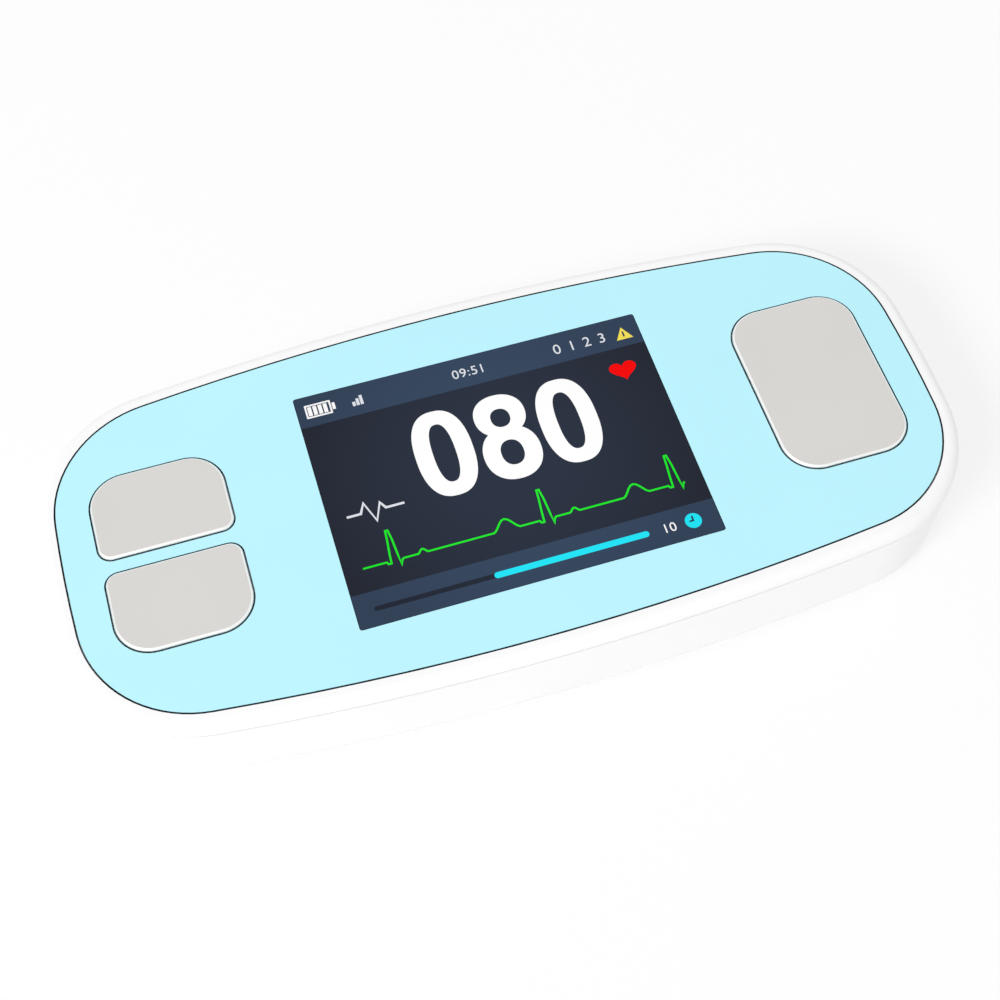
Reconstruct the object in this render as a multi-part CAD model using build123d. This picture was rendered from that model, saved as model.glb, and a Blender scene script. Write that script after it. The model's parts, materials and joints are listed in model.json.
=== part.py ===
from build123d import *
import math
import os

# Patient monitor: a palm-size heart-rhythm recorder with a colour screen and three skin electrodes.
# Millimetres. The origin is the middle of the flat back, +Z points out of the screen,
# +X runs along the length, and -Y is the long side nearest the person who holds it.

# Screen: a 2.4 inch panel of 320 by 240 points
active_length = 48.96
active_width = 36.72
window_gap = 0.1
window_corner_radius = 0.4
panel_border = 3.0
panel_ledge = 8.3
panel_height = 2.5
panel_gap = 0.3
glass_thickness = 0.7
tray_wall = 0.4
tray_lip_drop = 0.2
gasket_margin = 0.3
gasket_inset = 0.6
display_wall = 1.0
display_wall_height = 1.5

# Electrodes
electrode_length = 17.9
electrode_screen_gap = 11.62
electrode_end_margin = 4.7
electrode_side_margin = 12.6
electrode_bridge = 2.1
electrode_gap = 0.2
electrode_proud = 0.35
electrode_corner_radius = 4.9
electrode_facing_radius = 1.8
electrode_edge_radius = 0.45
electrode_wall = 0.7
stud_diameter = 2.5
stud_clearance = 0.4
nut_across_flats = 5.0
nut_thickness = 1.6

# Face plate outline: shallow arcs along the sides and ends, joined by round corners
screen_side_margin = 7.74
side_arc_radius = 385.0
end_arc_radius = 199.0
corner_radius = 15.9

# Heights of the front
plate_top = 15.5
plate_thickness = 1.2
adhesive_thickness = 0.2
deck_thickness = 1.2
seam_drop = 1.7

# Housing walls
ring_width = 2.5
ring_edge_radius = 1.5
plate_gap = 0.25
rear_step = 0.1
draft_angle = 2.0
back_edge_radius = 2.7
wall_thickness = 1.7
floor_thickness = 1.6
lip_thickness = 0.85
lap_depth = 1.4
lap_clearance = 0.15
tongue_thickness = 0.9
seam_groove_height = 0.35
seam_groove_depth = 0.4

# Main board
board_height = 8.2
board_thickness = 1.2
board_inset = 1.2
board_notch_clearance = 0.5
board_hole_clearance = 0.4

# Screws that close the housing, and the brass inserts they bite in
screw_inset = 4.0
screw_diameter = 2.0
screw_length = 8.0
screw_head_diameter = 3.8
screw_head_height = 1.4
screw_head_recess = 1.6
screw_clearance = 0.3
boss_wall = 1.0
boss_height = 6.0
pillar_gap = 0.1
pillar_wall = 1.1
insert_diameter = 3.2
insert_length = 4.0

# Screws that hold the board on its posts
post_panel_gap = 4.2
post_side_margin = 6.6
post_diameter = 4.2
board_screw_diameter = 1.8
board_screw_length = 5.5
board_screw_head_diameter = 3.4
board_screw_head_height = 1.1
thread_gap = 0.1
cross_recess_width = 0.5
cross_recess_depth = 0.6

# Contact springs between the board and the studs
spring_height = 1.5
spring_width = 2.2
spring_length = 4.2
spring_thickness = 0.25
spring_bend_radius = 0.5

# Flexible circuit from the panel to the board
flex_width = 22.0
flex_thickness = 0.16
flex_stand_off = 0.5
flex_bend_radius = 0.6
flex_notch_depth = 1.6
flex_notch_margin = 1.0
flex_bond_length = 2.4
flex_connector_length = 4.2
flex_connector_margin = 1.2
flex_connector_height = 1.0
flex_entry_height = 0.5

# Carrier that holds the panel above the board
carrier_wall = 1.6
carrier_bar_gap = 9.0
carrier_peg_diameter = 1.5
carrier_peg_inset = 3.0
carrier_peg_clearance = 0.1

# Charging socket and its flap
socket_width = 8.94
socket_height = 3.26
socket_depth = 7.35
socket_wall = 0.3
socket_clearance = 0.2
socket_tongue_width = 6.69
socket_tongue_thickness = 0.7
socket_tongue_recess = 1.2
socket_tongue_root = 1.6
port_recess_width = 13.0
port_recess_height = 6.4
port_recess_depth = 1.2
port_recess_radius = 2.0
port_pad_margin = 1.0
port_pad_depth = 1.0
nail_dimple_radius = 5.0
nail_dimple_depth = 0.7
flap_clearance = 0.2
flap_plug_length = 1.0
flap_plug_clearance = 0.3
strap_width = 3.0
strap_length = 3.4
strap_thickness = 0.8
strap_stem_diameter = 1.5
strap_barb_diameter = 2.3
strap_barb_height = 0.8

# Power key on the far long side
key_length = 11.0
key_height = 3.6
key_proud = 0.3
key_travel = 0.4
key_clearance = 0.2
key_edge_radius = 0.4
key_rim_margin = 0.5
key_rim_depth = 0.25
key_flange_margin = 0.9
key_flange_thickness = 0.5
key_flange_gap = 0.25
switch_length = 6.0
switch_depth = 3.6
switch_height = 3.4
switch_inset = 0.3
plunger_length = 2.8
plunger_height = 1.6

# Battery
battery_length = 50.0
battery_width = 34.0
battery_thickness = 5.0
battery_edge_radius = 1.4
battery_cap_length = 3.6
battery_cap_thickness = 3.0
battery_pad_thickness = 0.5
battery_pad_inset = 3.0
battery_rib_gap = 0.5
battery_rib_thickness = 1.0
battery_rib_height = 2.4
battery_rib_opening = 14.0
lead_diameter = 1.0
lead_pitch = 1.25
lead_y = 5.0
lead_run = 2.2
lead_slope_run = 1.1
lead_bend_radius = 0.8
battery_plug_length = 4.5
battery_plug_width = 5.0
battery_plug_height = 2.4

# Buzzer and its sound holes
buzzer_diameter = 9.0
buzzer_height = 4.0
sound_hole_diameter = 1.2
sound_hole_circle = 2.6
sound_hole_count = 6
buzzer_rib_gap = 0.4
buzzer_rib_thickness = 0.9
buzzer_rib_clearance = 0.3

# Parts soldered on the board: length, width and height, then where they stand
processor_size = (10.0, 10.0, 1.4)
processor_x = -10.0
amplifier_size = (7.0, 7.0, 1.0)
amplifier_panel_gap = 3.0
memory_size = (5.2, 5.3, 1.6)
memory_step_x = -9.0
memory_step_y = -12.0
wireless_size = (12.0, 9.0, 0.8)
wireless_can_height = 1.5
wireless_can_margin = 0.8
wireless_antenna_length = 3.0
wireless_post_gap = 1.0
wireless_stud_gap = 3.0
crystal_size = (3.2, 2.5, 0.8)
crystal_step_x = 8.5
crystal_step_y = 8.0
charger_size = (4.0, 4.0, 0.8)
coil_size = (4.0, 4.0, 2.0)
charger_end_margin = 8.2
charger_y = 8.0
passive_size = (1.6, 0.8, 0.6)
passive_pitch = 2.0
passive_row_count = 5
passive_row_gap = 2.4
lead_finger_width = 0.3
lead_finger_pitch = 0.8
lead_finger_reach = 0.8
lead_finger_thickness = 0.15

# How far a cutting body runs on past the surface that it cuts
cut = 5.0

# Heights, offsets and places that follow from the values above
plate_half_length = active_length / 2 + electrode_screen_gap + electrode_length + electrode_end_margin
plate_half_width = active_width / 2 + screen_side_margin
seam = plate_top - seam_drop
plate_bottom = plate_top - plate_thickness
deck_top = plate_bottom - adhesive_thickness
deck_bottom = deck_top - deck_thickness
rear_offset = ring_width - rear_step
inner_offset = rear_offset - wall_thickness
lap_offset = rear_offset - lip_thickness
tongue_offset = lap_offset - lap_clearance
tongue_bottom = seam - lap_depth + lap_clearance
draft_slope = math.tan(math.radians(draft_angle))
board_top = board_height + board_thickness
panel_top = deck_top
panel_bottom = panel_top - panel_height
glass_bottom = panel_top - 2 * glass_thickness
panel_left = -active_length / 2 - panel_border
panel_right = active_length / 2 + panel_ledge
panel_length = panel_right - panel_left
panel_x = (panel_left + panel_right) / 2
panel_width = active_width + 2 * panel_border
stud_bottom = board_top + spring_height
electrode_x = active_length / 2 + electrode_screen_gap + electrode_length / 2
electrode_half_span = plate_half_width - electrode_side_margin
half_electrode_size_y = electrode_half_span - electrode_bridge / 2
half_electrode_y = (electrode_half_span + electrode_bridge / 2) / 2
post_x = panel_right + post_panel_gap
post_y = plate_half_width - post_side_margin
processor_place = (processor_x, 0.0)
memory_place = (processor_x + memory_step_x, memory_step_y)
crystal_place = (processor_x + crystal_step_x, crystal_step_y)
amplifier_place = (panel_left - amplifier_panel_gap - amplifier_size[0] / 2, 0.0)
wireless_x = post_x - post_diameter / 2 + wireless_post_gap + wireless_size[0] / 2
wireless_place = (wireless_x, -wireless_stud_gap - wireless_size[1] / 2)
charger_place = (charger_end_margin - plate_half_length, charger_y)
coil_place = (charger_end_margin - plate_half_length, -charger_y)
carrier_bar_x = processor_x + processor_size[0] / 2 + carrier_bar_gap
port_z = board_height - socket_height / 2
port_face_x = -(plate_half_length + rear_offset - (seam - port_z) * draft_slope)
port_floor_x = port_face_x + port_recess_depth
key_z = board_height - switch_height / 2
key_wall_y = plate_half_width + rear_offset - (seam - key_z) * draft_slope
key_flange_y = key_wall_y - wall_thickness - key_flange_gap
lead_reach = 2 * lead_run + lead_slope_run

nodes = {}


def outline_centres():
    """Centres of the side arc, the end arc and the round corner between them, at +X +Y."""
    side = Vector(0, plate_half_width - side_arc_radius)
    end = Vector(plate_half_length - end_arc_radius, 0)
    from_side = side_arc_radius - corner_radius
    from_end = end_arc_radius - corner_radius
    between = end - side
    along = (from_side**2 - from_end**2 + between.length**2) / (2 * between.length)
    across = math.sqrt(from_side**2 - along**2)
    unit = between.normalized()
    return side, end, side + unit * along + Vector(unit.Y, -unit.X) * across


def outline(offset):
    """The face plate's outline, moved outwards by offset."""
    side, end, corner = outline_centres()
    side_way = (corner - side).normalized()
    end_way = (corner - end).normalized()
    radius = corner_radius + offset
    a = corner + side_way * radius
    m = corner + (side_way + end_way).normalized() * radius
    b = corner + end_way * radius
    arcs = []
    for x in (1, -1):
        for y in (1, -1):
            arcs.append(ThreePointArc((a.X * x, a.Y * y), (m.X * x, m.Y * y), (b.X * x, b.Y * y)))
    for s in (1, -1):
        arcs.append(ThreePointArc((-a.X, a.Y * s), (0, (plate_half_width + offset) * s), (a.X, a.Y * s)))
        arcs.append(ThreePointArc((b.X * s, -b.Y), ((plate_half_length + offset) * s, 0), (b.X * s, b.Y)))
    return make_face(Wire(arcs))


def slab(face, bottom, top):
    """A face raised into a solid between two heights."""
    return extrude(Pos(0, 0, bottom) * face, amount=top - bottom)


def block(x, y, bottom, length, width, top):
    """An upright box by the middle of its plan."""
    return slab(Pos(x, y) * Rectangle(length, width), bottom, top)


def rod(x, y, bottom, top, diameter):
    """An upright round bar."""
    return slab(Pos(x, y) * Circle(diameter / 2), bottom, top)


def drafted(offset, bottom, edge_radius):
    """A body that narrows from the seam down to bottom, with a round lower edge."""
    body = extrude(Pos(0, 0, seam) * outline(offset), amount=bottom - seam, taper=draft_angle)
    return fillet(body.faces().sort_by(Axis.Z)[0].edges(), edge_radius)


def strip(points, bend_radius, thickness, width, y):
    """A bent strip whose middle line runs through points of x and z."""
    line = FilletPolyline(*points, radius=bend_radius)
    section = Plane.XZ.offset(-y) * trace(line, thickness)
    return extrude(section, amount=width / 2, both=True)


def crossed(screw, x, y, face_z, inward):
    """A screw with a cross recess in the face of its head."""
    length = screw_head_diameter / 2
    bottom, top = sorted((face_z, face_z + inward * cross_recess_depth))
    screw -= block(x, y, bottom, length, cross_recess_width, top)
    return screw - block(x, y, bottom, cross_recess_width, length, top)


def housing_screw_places():
    """Middles of the four corner screws."""
    corner = outline_centres()[2]
    reach = (corner_radius - screw_inset) / math.sqrt(2)
    x, y = corner.X + reach, corner.Y + reach
    return [(x, y), (-x, y), (-x, -y), (x, -y)]


def board_post_places():
    """Middles of the four posts that carry the board."""
    return [(post_x, post_y), (-post_x, post_y), (-post_x, -post_y), (post_x, -post_y)]


def stud_places():
    """Middles of the three electrodes."""
    return [(electrode_x, 0), (-electrode_x, half_electrode_y), (-electrode_x, -half_electrode_y)]


def electrode_face(index, offset):
    """Plan of an electrode, moved outwards by offset: 0 is the right one, 1 and 2 the left pair."""
    x, y = stud_places()[index]
    if index == 0:
        plan = Rectangle(electrode_length, 2 * electrode_half_span)
        plan = fillet(plan.vertices(), electrode_corner_radius)
    else:
        plan = Rectangle(electrode_length, half_electrode_size_y)
        rows = plan.vertices().sort_by(Axis.Y)
        facing, outer = (rows[:2], rows[2:]) if y > 0 else (rows[2:], rows[:2])
        plan = fillet(facing, electrode_facing_radius)
        rows = plan.vertices().sort_by(Axis.Y)
        outer = rows[-2:] if y > 0 else rows[:2]
        plan = fillet(outer, electrode_corner_radius)
    if offset:
        plan = make_face(offset_outline(plan, offset))
    return Pos(x, y) * plan


def offset_outline(plan, distance):
    """The rim of a plan, moved outwards or inwards."""
    return plan.faces()[0].outer_wire().offset_2d(distance)


def stadium(length, height, depth, plane):
    """A bar with round ends, raised from a plane along its normal."""
    return extrude(plane * SlotOverall(length, height), amount=depth)


def make_front_shell():
    """White front shell: outer ring, deck under the face plate, and pillars for the inserts."""
    ring = slab(outline(ring_width), seam, plate_top)
    ring = fillet(ring.faces().sort_by(Axis.Z)[-1].edges(), ring_edge_radius)
    shell = ring + slab(outline(tongue_offset), tongue_bottom, seam)
    shell -= slab(outline(plate_gap), deck_top, plate_top + cut)
    shell -= slab(outline(tongue_offset - tongue_thickness), tongue_bottom - cut, deck_bottom)
    wall_length = panel_length + 2 * (panel_gap + display_wall)
    wall_width = panel_width + 2 * (panel_gap + display_wall)
    wall_bottom = deck_bottom - display_wall_height
    shell += block(panel_x, 0, wall_bottom, wall_length, wall_width, deck_bottom)
    pillar_bottom = boss_height + pillar_gap
    for x, y in housing_screw_places():
        shell += rod(x, y, pillar_bottom, deck_bottom, insert_diameter + 2 * pillar_wall)
        shell -= rod(x, y, pillar_bottom, pillar_bottom + insert_length, insert_diameter)
        hole_top = screw_head_recess + screw_head_height + screw_length + cross_recess_depth
        shell -= rod(x, y, pillar_bottom, hole_top, screw_diameter + screw_clearance)
    shell -= block(panel_x, 0, wall_bottom, panel_length + 2 * panel_gap, panel_width + 2 * panel_gap, deck_top)
    notch_x = panel_right + panel_gap + flex_notch_depth / 2
    notch_width = flex_width + 2 * flex_notch_margin
    shell -= block(notch_x, 0, wall_bottom, flex_notch_depth, notch_width, deck_top)
    for x, y in stud_places():
        shell -= rod(x, y, deck_bottom, deck_top, stud_diameter + stud_clearance)
    return shell


def make_rear_shell():
    """White rear tub with its bosses, posts, battery ribs, sound holes, port and key slot."""
    tub = drafted(rear_offset, 0, back_edge_radius)
    tub -= drafted(inner_offset, floor_thickness, back_edge_radius - wall_thickness)
    tub -= slab(outline(lap_offset), seam - lap_depth, seam + cut)
    tub -= seam_groove()
    boss_diameter = screw_head_diameter + 2 * (screw_clearance + boss_wall)
    for x, y in housing_screw_places():
        tub += rod(x, y, floor_thickness / 2, boss_height, boss_diameter)
        tub -= rod(x, y, 0, boss_height, screw_diameter + screw_clearance)
        seat = screw_head_recess + screw_head_height
        tub -= rod(x, y, 0, seat, screw_head_diameter + 2 * screw_clearance)
    for x, y in board_post_places():
        tub += rod(x, y, floor_thickness / 2, board_height, post_diameter)
        bore_bottom = board_top - board_screw_length - thread_gap
        tub -= rod(x, y, bore_bottom, board_height, board_screw_diameter + thread_gap)
    tub += battery_ribs()
    tub += buzzer_rib()
    tub -= sound_holes()
    tub += port_pad()
    tub -= port_cuts()
    tub -= key_slot()
    return tub


def seam_groove():
    """Fine groove under the front ring, the shadow line between the two shells."""
    rim = outline(rear_offset + cut) - outline(rear_offset - seam_groove_depth)
    return slab(rim, seam - seam_groove_height, seam + cut)


def battery_ribs():
    """Low ribs round the battery, open in the middle of each side."""
    inner_length = battery_length + 2 * battery_rib_gap
    inner_width = battery_width + 2 * battery_rib_gap
    top = floor_thickness + battery_rib_height
    outer = Rectangle(inner_length + 2 * battery_rib_thickness, inner_width + 2 * battery_rib_thickness)
    ribs = slab(outer - Rectangle(inner_length, inner_width), floor_thickness / 2, top)
    ribs -= block(0, 0, floor_thickness, battery_rib_opening, battery_width * 2, top)
    return ribs - block(0, 0, floor_thickness, battery_length * 2, battery_rib_opening, top)


def buzzer_rib():
    """Round rib that leads the sound from the buzzer to its holes."""
    inner = buzzer_diameter + 2 * buzzer_rib_gap
    top = board_height - buzzer_height - buzzer_rib_clearance
    rib = rod(electrode_x, 0, floor_thickness / 2, top, inner + 2 * buzzer_rib_thickness)
    return rib - rod(electrode_x, 0, floor_thickness / 2, top, inner)


def sound_holes():
    """A small round grille through the back."""
    holes = rod(electrode_x, 0, 0, floor_thickness, sound_hole_diameter)
    for spot in PolarLocations(sound_hole_circle, sound_hole_count):
        x, y = spot.position.X, spot.position.Y
        holes += rod(electrode_x + x, y, 0, floor_thickness, sound_hole_diameter)
    return holes


def port_plane(x):
    """The plane across the end of the housing at x, through the port, facing outwards."""
    return Plane(origin=(x, 0, port_z), x_dir=(0, 1, 0), z_dir=(-1, 0, 0))


def port_pad():
    """Thicker wall behind the port's recess and the strap."""
    length = port_recess_width + 2 * (strap_length + port_pad_margin)
    height = port_recess_height + 2 * port_pad_margin
    start = port_face_x + wall_thickness + port_pad_depth
    pad = RectangleRounded(length, height, port_recess_radius)
    return extrude(port_plane(start) * pad, amount=port_pad_depth + wall_thickness / 2)


def strap_y():
    """Place of the strap's stem beside the recess."""
    return -(port_recess_width / 2 + strap_length - strap_width / 2)


def strap_plan(margin, overrun):
    """Plan of the strap beside the recess: round at its far end, square at the flap."""
    near = -port_recess_width / 2 + overrun
    length = near - strap_y()
    plan = Pos(strap_y() + length / 2, 0) * Rectangle(length, strap_width + 2 * margin)
    return plan + Pos(strap_y(), 0) * Circle(strap_width / 2 + margin)


def port_cuts():
    """Recess for the flap, groove and hole for its strap, way in for the plug, and a thumbnail dimple."""
    recess = RectangleRounded(port_recess_width, port_recess_height, port_recess_radius)
    cuts = extrude(port_plane(port_floor_x) * recess, amount=cut)
    groove_plane = port_plane(port_face_x + strap_thickness)
    cuts += extrude(groove_plane * strap_plan(flap_clearance, port_recess_radius), amount=cut)
    stem = Pos(strap_y(), 0) * Circle(strap_stem_diameter / 2)
    cuts += extrude(port_plane(port_floor_x + cut) * stem, amount=2 * cut)
    length = socket_width + 2 * socket_clearance
    height = socket_height + 2 * socket_clearance
    cuts += stadium(length, height, 2 * cut, port_plane(port_floor_x + cut))
    dimple_x = port_face_x + nail_dimple_depth - nail_dimple_radius
    return cuts + Pos(dimple_x, port_recess_width / 2, port_z) * Sphere(nail_dimple_radius)


def key_plane(y):
    """The plane across the far long side at y, through the key, facing outwards."""
    return Plane(origin=(0, y, key_z), x_dir=(1, 0, 0), z_dir=(0, 1, 0))


def key_slot():
    """Slot for the power key, with a shallow rim sunk round its mouth."""
    length = key_length + 2 * key_clearance
    height = key_height + 2 * key_clearance
    slot = stadium(length, height, wall_thickness + cut, key_plane(key_wall_y - wall_thickness - key_flange_gap))
    rim_plane = key_plane(key_wall_y - key_rim_depth)
    return slot + stadium(length + 2 * key_rim_margin, height + 2 * key_rim_margin, cut, rim_plane)


def make_face_plate():
    """Light-blue face plate with its openings for the screen and the electrodes."""
    plate = slab(outline(0), plate_bottom, plate_top)
    opening = RectangleRounded(active_length + 2 * window_gap, active_width + 2 * window_gap, window_corner_radius)
    plate -= slab(opening, plate_bottom, plate_top)
    for index in range(3):
        plate -= slab(electrode_face(index, electrode_gap), plate_bottom, plate_top)
    return plate


def make_plate_adhesive():
    """Thin adhesive sheet between the deck and the face plate."""
    sheet = slab(outline(-gasket_inset), deck_top, plate_bottom)
    length = panel_length + 2 * (panel_gap + gasket_margin)
    sheet -= block(panel_x, 0, deck_top, length, panel_width + 2 * (panel_gap + gasket_margin), plate_bottom)
    notch_x = panel_right + panel_gap + flex_notch_depth / 2
    notch_width = flex_width + 2 * (flex_notch_margin + gasket_margin)
    sheet -= block(notch_x, 0, deck_top, flex_notch_depth + 2 * gasket_margin, notch_width, plate_bottom)
    for index in range(3):
        sheet -= slab(electrode_face(index, electrode_gap + gasket_margin), deck_top, plate_bottom)
    return sheet


def make_display_window():
    """Clear window cut to the lit area of the panel."""
    return slab(RectangleRounded(active_length, active_width, window_corner_radius), plate_bottom, plate_top)


def make_optical_adhesive():
    """Clear bond between the window and the panel."""
    return block(0, 0, deck_top, active_length - 2 * gasket_margin, active_width - 2 * gasket_margin, plate_bottom)


def make_display_gasket():
    """Black foam frame that keeps dust off the lit area."""
    outer_x = panel_left + gasket_inset
    length = active_length / 2 + panel_border - gasket_inset - outer_x
    frame = block(outer_x + length / 2, 0, deck_top, length, panel_width - 2 * gasket_inset, plate_bottom)
    return frame - block(0, 0, deck_top, active_length + gasket_margin, active_width + gasket_margin, plate_bottom)


def make_lcd_panel():
    """Two sheets of glass; the lower one runs on past the upper as the flexible circuit's ledge."""
    left = panel_left + tray_wall
    right = panel_right - tray_wall
    width = panel_width - 2 * tray_wall
    middle = glass_bottom + glass_thickness
    lower = block((left + right) / 2, 0, glass_bottom, right - left, width, middle)
    upper_right = active_length / 2 + panel_border
    upper = block((left + upper_right) / 2, 0, middle, upper_right - left, width, panel_top)
    return lower + upper


def make_lcd_backlight():
    """Backlight tray under the glass, notched at one end for the flexible circuit."""
    tray = block(panel_x, 0, panel_bottom, panel_length, panel_width, panel_top - tray_lip_drop)
    pocket_length = panel_length - 2 * tray_wall
    tray -= block(panel_x, 0, glass_bottom, pocket_length, panel_width - 2 * tray_wall, panel_top)
    notch_bottom = glass_bottom + glass_thickness
    return tray - block(panel_right, 0, notch_bottom, 4 * tray_wall, flex_width + flex_notch_margin, panel_top)


def make_lcd_flex():
    """Flexible circuit that turns round the end of the tray to its connector."""
    start_z = glass_bottom + glass_thickness + flex_thickness / 2
    turn_x = panel_right + flex_stand_off
    end_z = board_top + flex_entry_height
    end_x = panel_right - carrier_wall - flex_notch_margin
    points = [
        (panel_right - tray_wall - flex_bond_length, start_z),
        (turn_x, start_z),
        (turn_x, end_z),
        (end_x, end_z),
    ]
    return strip(points, flex_bend_radius, flex_thickness, flex_width, 0)


def make_flex_connector():
    """Low socket on the board that takes the flexible circuit."""
    right = panel_right - carrier_wall - flex_notch_margin
    width = flex_width + 2 * flex_connector_margin
    x = right - flex_connector_length / 2
    body = block(x, 0, board_top, flex_connector_length, width, board_top + flex_connector_height)
    lid_top = board_top + flex_connector_height
    lid_line = block(x, 0, lid_top - flex_thickness, flex_thickness, width - 2 * flex_connector_margin, lid_top)
    return body - lid_line


def carrier_peg_places():
    """Middles of the carrier's four pegs."""
    x_reach = panel_length / 2 - carrier_wall / 2
    y_reach = panel_width / 2 - carrier_peg_inset
    return [(panel_x + sx * x_reach, sy * y_reach) for sx in (1, -1) for sy in (1, -1)]


def make_display_carrier():
    """Moulded frame that stands on the board and carries the panel."""
    frame = block(panel_x, 0, board_top, panel_length, panel_width, panel_bottom)
    inner_length = panel_length - 2 * carrier_wall
    inner_width = panel_width - 2 * carrier_wall
    frame -= block(panel_x, 0, board_top, inner_length, inner_width, panel_bottom)
    frame -= block(panel_right, 0, board_top, 4 * carrier_wall, flex_width + 2 * flex_connector_margin, panel_bottom)
    frame += block(carrier_bar_x, 0, board_top, carrier_wall, inner_width, panel_bottom)
    for x, y in carrier_peg_places():
        frame += rod(x, y, board_height, board_top, carrier_peg_diameter)
    return frame


def make_electrode(index):
    """Stainless cap with rounded rim, hollow below, on a threaded stud."""
    top = plate_top + electrode_proud
    x, y = stud_places()[index]
    cap = slab(electrode_face(index, 0), deck_top, top)
    cap = fillet(cap.faces().sort_by(Axis.Z)[-1].edges(), electrode_edge_radius)
    cap -= slab(electrode_face(index, -electrode_wall), deck_top, top - electrode_wall)
    return cap + rod(x, y, stud_bottom, top - electrode_wall / 2, stud_diameter)


def make_electrode_nuts():
    """Three hexagonal nuts under the deck."""
    nuts = []
    for x, y in stud_places():
        hexagon = Pos(x, y) * RegularPolygon(nut_across_flats / 2, 6, major_radius=False)
        nut = slab(hexagon, deck_bottom - nut_thickness, deck_bottom)
        nuts.append(nut - rod(x, y, deck_bottom - nut_thickness, deck_bottom, stud_diameter))
    return nuts


def make_contact_springs():
    """Three bent leaf springs from the board to the ends of the studs."""
    springs = []
    low = board_top + spring_thickness / 2
    high = stud_bottom - spring_thickness / 2
    for x, y in stud_places():
        points = [
            (x - spring_length / 2, low),
            (x + spring_length / 2, low),
            (x + spring_length / 2, high),
            (x - spring_length / 4, high),
        ]
        springs.append(strip(points, spring_bend_radius, spring_thickness, spring_width, y))
    return springs


def make_main_board():
    """Circuit board that follows the housing, notched round the corner pillars."""
    board = slab(outline(-board_inset), board_height, board_top)
    notch = insert_diameter + 2 * (pillar_wall + board_notch_clearance)
    for x, y in housing_screw_places():
        board -= rod(x, y, board_height, board_top, notch)
    for x, y in board_post_places():
        board -= rod(x, y, board_height, board_top, board_screw_diameter + board_hole_clearance)
    for x, y in carrier_peg_places():
        board -= rod(x, y, board_height, board_top, carrier_peg_diameter + carrier_peg_clearance)
    return board


def make_board_screws():
    """Four screws from the top of the board into its posts."""
    screws = []
    for x, y in board_post_places():
        shank = rod(x, y, board_top - board_screw_length, board_top, board_screw_diameter)
        head_top = board_top + board_screw_head_height
        head = rod(x, y, board_top, head_top, board_screw_head_diameter)
        screws.append(crossed(shank + head, x, y, head_top, -1))
    return screws


def make_housing_screws():
    """Four screws from the back, sunk in their recesses."""
    screws = []
    for x, y in housing_screw_places():
        seat = screw_head_recess + screw_head_height
        head = rod(x, y, screw_head_recess, seat, screw_head_diameter)
        shank = rod(x, y, seat, seat + screw_length, screw_diameter)
        screws.append(crossed(head + shank, x, y, screw_head_recess, 1))
    return screws


def make_threaded_inserts():
    """Four brass bushes in the pillars."""
    inserts = []
    bottom = boss_height + pillar_gap
    for x, y in housing_screw_places():
        bush = rod(x, y, bottom, bottom + insert_length, insert_diameter)
        inserts.append(bush - rod(x, y, bottom, bottom + insert_length, screw_diameter))
    return inserts


def make_chip(place, size):
    """Moulded chip with rows of leads along two sides."""
    x, y = place
    length, width, height = size
    chip = block(x, y, board_top + lead_finger_thickness, length, width, board_top + height)
    count = int((length - lead_finger_pitch) / lead_finger_pitch)
    for number in range(count):
        finger_x = x + (number - (count - 1) / 2) * lead_finger_pitch
        finger_top = board_top + 2 * lead_finger_thickness
        chip += block(finger_x, y, board_top, lead_finger_width, width + 2 * lead_finger_reach, finger_top)
    return chip


def make_plain_chip(place, size):
    """Small part without leads."""
    x, y = place
    length, width, height = size
    return block(x, y, board_top, length, width, board_top + height)


def make_wireless_module():
    """Radio module: a small board with a metal can, its antenna end left bare."""
    x, y = wireless_place
    length, width, thickness = wireless_size
    module = block(x, y, board_top, length, width, board_top + thickness)
    can_length = length - wireless_antenna_length - wireless_can_margin
    can_x = x + length / 2 - wireless_can_margin - can_length / 2
    can_top = board_top + thickness + wireless_can_height
    can_width = width - 2 * wireless_can_margin
    return module + block(can_x, y, board_top + thickness, can_length, can_width, can_top)


def make_board_passives():
    """Rows of resistors and capacitors beside the processor and the amplifier."""
    passives = []
    length, width, height = passive_size
    for place, size in ((processor_place, processor_size), (amplifier_place, amplifier_size)):
        for side in (1, -1):
            y = place[1] + side * (size[1] / 2 + passive_row_gap)
            for number in range(passive_row_count):
                x = place[0] + (number - (passive_row_count - 1) / 2) * passive_pitch
                passives.append(block(x, y, board_top, width, length, board_top + height))
    return passives


def make_buzzer():
    """Round buzzer under the board, its mouth towards the sound holes."""
    bottom = board_height - buzzer_height
    can = rod(electrode_x, 0, bottom, board_height, buzzer_diameter)
    return can - rod(electrode_x, 0, bottom, bottom + sound_hole_diameter, sound_hole_diameter)


def make_usb_receptacle():
    """Metal shell of the charging socket under the board."""
    back_x = port_floor_x + socket_depth
    shell = stadium(socket_width, socket_height, socket_depth, port_plane(back_x))
    inner_width = socket_width - 2 * socket_wall
    inner_height = socket_height - 2 * socket_wall
    hollow = stadium(inner_width, inner_height, socket_depth, port_plane(back_x - socket_tongue_root))
    return shell - hollow


def make_usb_tongue():
    """Contact tongue in the middle of the charging socket."""
    root_x = port_floor_x + socket_depth - socket_tongue_root
    length = root_x - port_floor_x - socket_tongue_recess
    section = Rectangle(socket_tongue_width, socket_tongue_thickness)
    return extrude(port_plane(root_x) * section, amount=length)


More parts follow.
